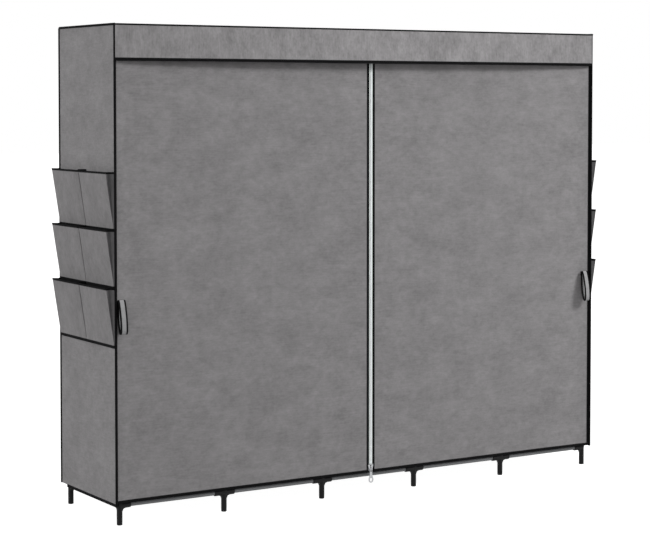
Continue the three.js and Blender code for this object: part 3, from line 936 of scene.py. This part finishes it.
def gusset(side, top, root, end, fold, proud=0.0):
    """A gusset from its root on the cover out to the face, folded along its middle."""
    def place(out_share, up):
        reach = pocket_foot + (pocket_reach - pocket_foot) * up / pocket_tall - cloth_thick
        tuck = fold * (1 - abs(2 * out_share - 1)) * (0.15 + 0.85 * up / pocket_tall)
        return spot(side * (half_width + 0.0003 + reach * out_share),
                    root - proud + (end - root) * out_share + tuck, top - pocket_tall + up)
    return place


pocket_stops = sorted(set(even(pocket_front, pocket_middle - seam_half, 0.014)
                          + even(pocket_middle - seam_half, pocket_middle + seam_half, 0.003)
                          + even(pocket_middle + seam_half, pocket_rear, 0.014)))
gusset_stops = even(0, 1, 0.125)
for side_name, side in sides:
    held_by = [f"side_cloth_{side_name}"]
    for row, level in enumerate(pocket_tops):
        top = level + pocket_lift[side_name]
        name = f"{side_name}_{row + 1}"
        hem_low, hem_high = pocket_hems[row]
        cloth(f"pocket_face_{name}", pocket_stops[::side],
              even(hem_high - 0.003, pocket_tall - 0.001, 0.012), pocket_face(side, top),
              cloth_pocket, (pocket_rear - pocket_front + 0.006, pocket_tall + 0.004), held_by,
              stands_for=[f"pocket_{name}"])
        mouths = [[pocket_face(side, top, -0.0007)(depth, pocket_tall - 0.0010)
                   for depth in pocket_stops]]
        for label, fold in gusset_folds.items():
            wide = gusset_widths[label]
            rise = 0.003 * (label == "middle")
            cloth(f"pocket_gusset_{label}_{name}", gusset_stops[::side],
                  even(0.002, pocket_tall - 0.001, 0.024), gusset(side, top, *fold),
                  cloth_gusset, (wide, pocket_tall), held_by, thick=gusset_thick,
                  area=wide * pocket_tall * gusset_taper)
            mouths.append([gusset(side, top, *fold)(share, pocket_tall - 0.0012 + rise)
                           for share in gusset_stops])
        beads(f"pocket_mouth_piping_{name}", mouths, 0.0019)
        for label, fold in gusset_folds.items():
            rise = 0.003 * (label == "middle")
            binding(f"pocket_gusset_binding_{label}_{name}", gusset_stops[::side],
                    even(pocket_tall - mouth_binding, pocket_tall + rise - 0.0004, 0.0028),
                    gusset(side, top, *fold, binding_proud),
                    thick=gusset_thick + 2 * binding_proud)
        binding(f"pocket_mouth_binding_{name}", pocket_stops[::side],
                even(pocket_tall - mouth_binding, pocket_tall + 0.0004, 0.0028),
                pocket_face(side, top, binding_proud))
        binding(f"pocket_hem_{name}", [0.004, *pocket_stops][::side],
                even(hem_low, hem_high, 0.004), pocket_face(side, top, binding_proud),
                thick=0.0030)
        stitches(f"pocket_stitches_{name}", [
            [pocket_face(side, top, stitch_proud)(depth, up)
             for depth in even(pocket_front + 0.004, pocket_rear - 0.004, 0.006)]
            for up in (pocket_tall - mouth_binding + 0.0012, hem_high - 0.0013)], black_thread)
        stitches(f"pocket_seam_stitches_{name}", [[
            pocket_face(side, top, 0.0001)(pocket_middle, up)
            for up in even(0.010, pocket_tall - 0.009, 0.02)]], grey_thread)


# Doors: two sheets of the cover's cloth, bound in black on three edges and hung 11 mm behind the
# front plane. The outer edge is sewn to the side all the way up, so the door folds there.

door_top = 1.580
door_foot = 0.0775
door_front = 0.011
door_inner = 0.012
door_outer = 1.033
door_fold = 1.022
door_rise = 0.004
rise_start = 0.975
outer_binding = 0.0088
binding_lean = 0.0023
door_hem = 0.0100
zip_lip = 0.0077
lip_lean = 0.0014
lip_start = 0.0285

cloth_door = cover_cloth("grey_cloth_door", grey, "X", "Z", "X")


def door_place(side, proud=0.0):
    """The door's outer face, x from the middle outwards. It hangs flat by the zip and the seam."""
    def place(x, z):
        settle = faded(x, door_inner + 0.02, door_outer - 0.02, 0.20)
        hang = 0.0026 * math.sin(math.pi * (x - door_inner) / (door_outer - door_inner))
        wave = 0.0011 * ripple(side * x, z, 0.33, 3.3) + 0.0004 * ripple(side * x, z, 0.11, 7.7)
        back_set = max(0.0, hang) * settle + max(-0.0010, wave) * settle
        rise = door_rise * faded(x, rise_start, 2, door_outer - rise_start)
        return spot(side * x, door_front + back_set - rise - proud, z)
    return place

def folded(piece, side):
    """Bakes a door piece's placement into its mesh."""
    spot(side * door_outer, 0.011, 0.8)
    spot(side * door_fold, 0.011, 0.8)
    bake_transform(piece)


zip_path = [(0.0140, 0.01025), (0.0162, 0.01035), (0.0175, 0.0108)]
for side_name, side in sides:
    body = f"{side_name}_door"
    across = sorted(set(even(door_outer, door_fold, 0.0011)
                        + even(door_fold, door_inner, 0.0125)))[::side]
    folded(cloth(f"door_cloth_{side_name}", across, even(door_foot + 0.0005, door_top, 0.0135),
                 door_place(side), cloth_door, (door_outer - door_inner, door_top - door_foot),
                 [f"side_cloth_{side_name}"], body=None, stands_for=[f"door_{side_name}"]),
           side)
    seam_side = door_outer - outer_binding - binding_lean * side
    folded(binding(f"door_outer_binding_{side_name}",
                   sorted(even(door_outer, seam_side, 0.0011))[::side],
                   even(door_foot, door_top, 0.03), door_place(side, binding_proud), None),
           side)
    folded(binding(f"door_hem_{side_name}", across,
                   even(door_foot - 0.0003, door_foot + door_hem, 0.0037),
                   door_place(side, binding_proud), None), side)
    folded(stitches(f"door_stitches_{side_name}", [
        [door_place(side, stitch_proud)(x, door_foot + door_hem - 0.0016)
         for x in even(door_inner + 0.008, door_outer - 0.003, 0.02)],
        [door_place(side, stitch_proud)(seam_side + 0.0013, z)
         for z in even(door_foot + 0.012, door_top - 0.003, 0.05)]], black_thread, None),
           side)
    stitches(f"door_zip_stitches_{side_name}", [[
        spot(side * 0.0152, 0.01025, z) for z in even(door_foot + 0.012, door_top - 0.003, 0.1)]],
        black_thread, body)
    lip = zip_lip + lip_lean * side
    for label, path, low, high, thick in (
            ("lip", [(lip, 0.01165), (0.0110, 0.01155), (0.0122, 0.01045), *zip_path],
             lip_start, door_top - door_foot, 0.0008),
            ("edge", [(0.0119, 0.0130), (0.0119, 0.0107), (0.0127, 0.01035), *zip_path],
             0, lip_start, 0.0005),
            ("tail", [(0.0002, 0.0168), (0.0220, 0.0168)], 0, 0.0300, 0.0008)):
        binding(f"door_zip_{label}_{side_name}", range(len(path))[::side],
                even(door_foot + low, door_foot + high, 0.1), strip_place(path, side), body, thick)


# Zip: two white woven tapes behind the doors' inner edges, each with a nylon coil. The two coils
# mesh along the middle, one tooth of each in turn.

tape_foot = 0.106
tape_depth = 0.0128
tape_edge = 0.0016
tape_outer = 0.017
tooth_pitch = 0.0020
tooth_radius = 0.00056
tooth_length = 0.0040
tooth_mesh = 0.0004
coil_end = 0.0012

white_tape = two_tone("white_zip_tape", "zip_tape", (242, 250, 248), (251, 255, 254),
                      ((60, 60, 220), 2), {"Z": 0.0012, "X": 0.0010}, (0.0003, 0.4), 0.85)
white_coil = two_tone("white_nylon_coil", "zip_tape", (232, 238, 239), (246, 250, 250), (90, 2),
                      (1500, 1), (0.0001, 0.3), 0.4)

teeth = Recipe("coil_teeth", {"Pitch": "Float", "Length": "Float", "Radius": "Float"})
teeth_line = teeth.add("GeometryNodeResampleCurve", {"mode": "LENGTH"}, {
    "Curve": teeth.add("GeometryNodeMeshToCurve", inputs={0: teeth.size("Geometry")}),
    "Length": teeth.size("Pitch")})
tooth_bar = teeth.add("GeometryNodeMeshCylinder", {"fill_type": "NGON"}, {
    "Vertices": 8, "Radius": teeth.size("Radius"), "Depth": teeth.size("Length")})
teeth.copies(teeth_line, tooth_bar, Rotation=(0, math.pi / 2, 0))

for side_name, side in sides:
    body = f"{side_name}_door"
    fit(f"zip_tape_cloth_{side_name}", sheet_mesh(
        even(tape_edge, tape_outer, 0.004)[::side], even(tape_foot, door_top, 0.1),
        lambda x, z: spot(side * x, tape_depth, z), 0.0010),
        white_tape, body, [f"zip_tape_{side_name}"])
    centre = side * (tooth_length / 2 - tooth_mesh)
    start = tape_foot + coil_end + (tooth_pitch / 2 if side > 0 else 0)
    coil = [spot(centre, tape_depth - 0.0004, z) for z in (start, door_top - coil_end)]
    coil_mesh = teeth.make("teeth", coil, white_coil, {
        "Pitch": tooth_pitch, "Length": tooth_length, "Radius": tooth_radius}, [(0, 1)])
    fit(f"zip_coil_{side_name}", tidy(coil_mesh), white_coil, body)


# Zip slider: a plated zinc casting of two plates over the coils, wide at its shoulders, with rolled
# side rims, a bridge between the plates and a bail on its face that holds the pull.

slider_foot = 0.0817
slider_tall = 0.0240
slider_front = 0.0096
plate_thick = 0.0018
back_plate = 0.0142
bridge_half = 0.0011

plated_zinc = two_tone("plated_zinc", "zip_metal", (146, 147, 149), (182, 183, 185), (180, 3),
                       (1400, 2), (0.00008, 0.35), 0.24, 0.2, Metallic=1.0)
# Painted shade: a dark finish for marks on the slider's face that stand in for the shade in its
# hollows.
painted_slider_shade = two_tone("slider_painted_shade", "zip_metal", (30, 30, 31), (52, 52, 54), (400, 2),
                        (1400, 2), (0.00008, 0.3), 0.5, Metallic=0.4)


def pressing(outlines, front_depth, back_depth, edge, height=0.0):
    """A flat pressing with rounded edges, upright and facing the front, from x and z outlines."""
    curve = put(bpy.data.curves.new("pressing", "CURVE"), dimensions="2D", fill_mode="BOTH",
                bevel_depth=edge, bevel_resolution=2, offset=-edge,
                extrude=(back_depth - front_depth) / 2 - edge)
    for outline in outlines:
        spline = curve.splines.new("POLY")
        spline.points.add(len(outline) - 1)
        for point, (x, z) in zip(spline.points, outline):
            point.co = (x, z, 0, 1)
        spline.use_cyclic_u = True
    mesh = baked(made("pressing", curve))
    upright = Matrix.Rotation(math.pi / 2, 4, "X")
    mesh.transform(Matrix.Translation(spot(0, (front_depth + back_depth) / 2, height)) @ upright)
    return mesh


def ring_outline(x, z, across, up, start=0, end=360, steps=28):
    return [(x + across * math.cos(math.radians(turn)), z + up * math.sin(math.radians(turn)))
            for turn in even(start, end, abs(end - start) / steps)]


def together(name, meshes):
    """Several meshes as one."""
    whole = bmesh.new()
    for mesh in meshes:
        whole.from_mesh(mesh)
    bmesh.ops.remove_doubles(whole, verts=whole.verts, dist=0.000004)
    return tidy(from_shell(name, whole), 40)


def mirrored(points):
    return points + [(-x, z) for x, z in reversed(points)]


edge_line = [(0.0064, 0.0012), (0.0074, 0.0040), (0.0080, 0.0100), (0.0093, 0.0152),
             (0.0109, 0.0192), (0.0113, 0.0216), (0.0108, 0.0234)]
plate = mirrored([(0.0048, 0), *edge_line, (0.0094, 0.0240), (0.0050, 0.0240), (0.0022, 0.0228)])
bridge = [(-bridge_half, slider_tall - 0.0090), (bridge_half, slider_tall - 0.0090),
          (bridge_half, slider_tall - 0.0005), (-bridge_half, slider_tall - 0.0005)]
fit("slider_casting", together("slider", [
    pressing([plate], slider_front, slider_front + plate_thick, 0.0005, slider_foot),
    pressing([plate], back_plate, back_plate + plate_thick, 0.0005, slider_foot),
    pressing([bridge], 0.0100, 0.0156, 0.0002, slider_foot)]),
    plated_zinc, "slider", ["zip_slider"])
beads("slider_rims", [[spot(side * (x - 0.0009), slider_front + 0.0004, slider_foot + z)
                       for x, z in edge_line] for side in (-1, 1)], 0.0010, plated_zinc, "slider")

bail_low = slider_foot + 0.0024
bail_high = slider_foot + 0.0096
bail_front = 0.0055
beads("slider_bail", [[spot(0, depth, z) for depth, z in (
    (0.0100, bail_low), (0.0070, bail_low), (bail_front, bail_low + 0.0012),
    (bail_front, (bail_low + bail_high) / 2), (bail_front, bail_high - 0.0012),
    (0.0070, bail_high), (0.0100, bail_high))]], 0.0009, plated_zinc, "slider")
# Dark diamonds laid on the front plate are painted shade, for the shade in the hollows beside the
# bail and under the bridge.
shade_diamonds = ((-0.0009, 0.0192, 0.0036, 0.0037), (0.0006, 0.0118, 0.0033, 0.0034),
            (0.0012, 0.0036, 0.0021, 0.0024))
fit("slider_recesses", together("shade_paint_mesh", [
    pressing([[(x, z - rise), (x + half, z), (x, z + rise), (x - half, z)]],
             slider_front - 0.00005, slider_front + 0.0004, 0.00002, slider_foot)
    for x, z, half, rise in shade_diamonds]), painted_slider_shade, "slider")


# Zip pull: a plated pressing hung on the bail by its pin bar, with a neck and a finger ring.

pin_height = slider_foot + 0.006
pin_depth = 0.0079
pull_thick = 0.0016
ring_centre = -0.0370
ring_across = 0.0105
ring_up = 0.0121
shoulder = 0.0079
neck_turn = math.degrees(math.asin(shoulder / ring_across))

outer = ring_outline(0, ring_centre, ring_across, ring_up, 90 + neck_turn, 450 - neck_turn)
outer += mirrored([(0.0063, -0.0225), (0.0054, -0.0130), (0.0052, -0.0040), (0.0046, 0.0008)])
eye = [(-0.0030, -0.0008), (0.0030, -0.0008), (0.0030, -0.0080), (-0.0030, -0.0080)]
hole = ring_outline(0, ring_centre - 0.0010, 0.0048, 0.0066)[:-1]
fit("pull_pressing", together("pull", [pressing(
    [outer, eye, hole], pin_depth - pull_thick / 2, pin_depth + pull_thick / 2, 0.00035,
    pin_height)]), plated_zinc, "pull", ["zip_pull"])


# Tie-back loops: a 28 mm strap sewn end to end and flattened, its long edges bound in black, hung
# by its top from the door. An open door is gathered and slipped through it.

loop_long = 0.116
loop_deep = 0.022
loop_top = 0.773
loop_outer = {"left": 1.0268, "right": 1.0166}
loop_tilt = math.radians(8)
loop_rest = 0.0072
strap_width = 0.0280
strap_thick = 0.0018
band_width = 0.0062
band_proud = 0.0007
band_soft = 0.0007
tab_proud = 0.0009

pale_strap = two_tone("pale_strap", "loop_strap", (142, 142, 143), (160, 160, 161),
                      ((60, 260, 60), 3), {"X": 0.0014, "Z": 0.0014}, (0.0003, 0.5), 0.9)


def loop_point(turn, inset):
    """A point of the loop's section, depth behind the front plane and height."""
    swell = (loop_deep / 2 - inset) * math.sin(turn) * (1 - 0.22 * math.cos(turn))
    down = (loop_long / 2 - inset) * (1 - math.cos(turn)) + inset
    depth = swell * math.cos(loop_tilt) - down * math.sin(loop_tilt)
    return depth, loop_top - down * math.cos(loop_tilt) + swell * math.sin(loop_tilt) - 0.001


def loop_band(name, stops):
    """A closed band of the loop. Each stop is an x and an inset from the loop's outer face."""
    band = bmesh.new()
    rows = []
    for turn in even(0, 2 * math.pi, 0.11)[:-1]:
        row = []
        for x, inset in stops:
            depth, z = loop_point(turn, inset)
            row.append(band.verts.new(spot(x, depth - loop_back + loop_rest, z)))
        rows.append(row)
    for index, row in enumerate(rows):
        before = rows[index - 1]
        for corner in range(len(stops)):
            band.faces.new((before[corner - 1], row[corner - 1], row[corner], before[corner]))
    return tidy(from_shell(name, band), 50)


def hang(piece, side_name):
    """Bakes a loop piece's placement into its mesh."""
    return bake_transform(piece, f"{side_name}_door", f"{side_name}_loop",
                    start=spot(0, 0, loop_top - 0.001), end=spot(0, 0, loop_top - 0.013))


loop_back = max(loop_point(turn, -band_proud)[0] for turn in even(0, 2 * math.pi, 0.05))
low, high = -band_proud, strap_thick + band_proud
for side_name, side in sides:
    body = f"{side_name}_door"
    outer_x = loop_outer[side_name]
    inner_x = outer_x - strap_width
    hang(fit(f"loop_strap_{side_name}", loop_band("strap", [(side * x, inset) for x, inset in (
        (outer_x - 0.0006, 0), (inner_x + 0.0006, 0), (inner_x + 0.0006, strap_thick),
        (outer_x - 0.0006, strap_thick))]), pale_strap, None, [f"tie_loop_{side_name}"]),
        side_name)
    tab = (inner_x + 0.001, outer_x - 0.001)
    binding(f"loop_tab_{side_name}", tab[::side], even(loop_top - 0.018, loop_top - 0.002, 0.006),
            door_place(side, tab_proud), body, 0.0014)
    stitches(f"loop_tab_stitches_{side_name}", [
        [door_place(side, tab_proud + 0.0001)(x, z)
         for x in even(tab[0] + 0.002, tab[1] - 0.002, 0.006)]
        for z in (loop_top - 0.0040, loop_top - 0.0160)], black_thread, body)
    for label, start, end in (("outer", outer_x, outer_x - band_width),
                              ("inner", inner_x, inner_x + band_width)):
        soft = math.copysign(band_soft, end - start)
        hang(fit(f"loop_binding_{label}_{side_name}", loop_band("band", [
            (side * x, inset) for x, inset in (
                (start, low + band_soft), (start + soft, low), (end - soft, low),
                (end, low + band_soft), (end, high - band_soft), (end - soft, high),
                (start + soft, high), (start, high - band_soft))]), black_binding, None),
            side_name)
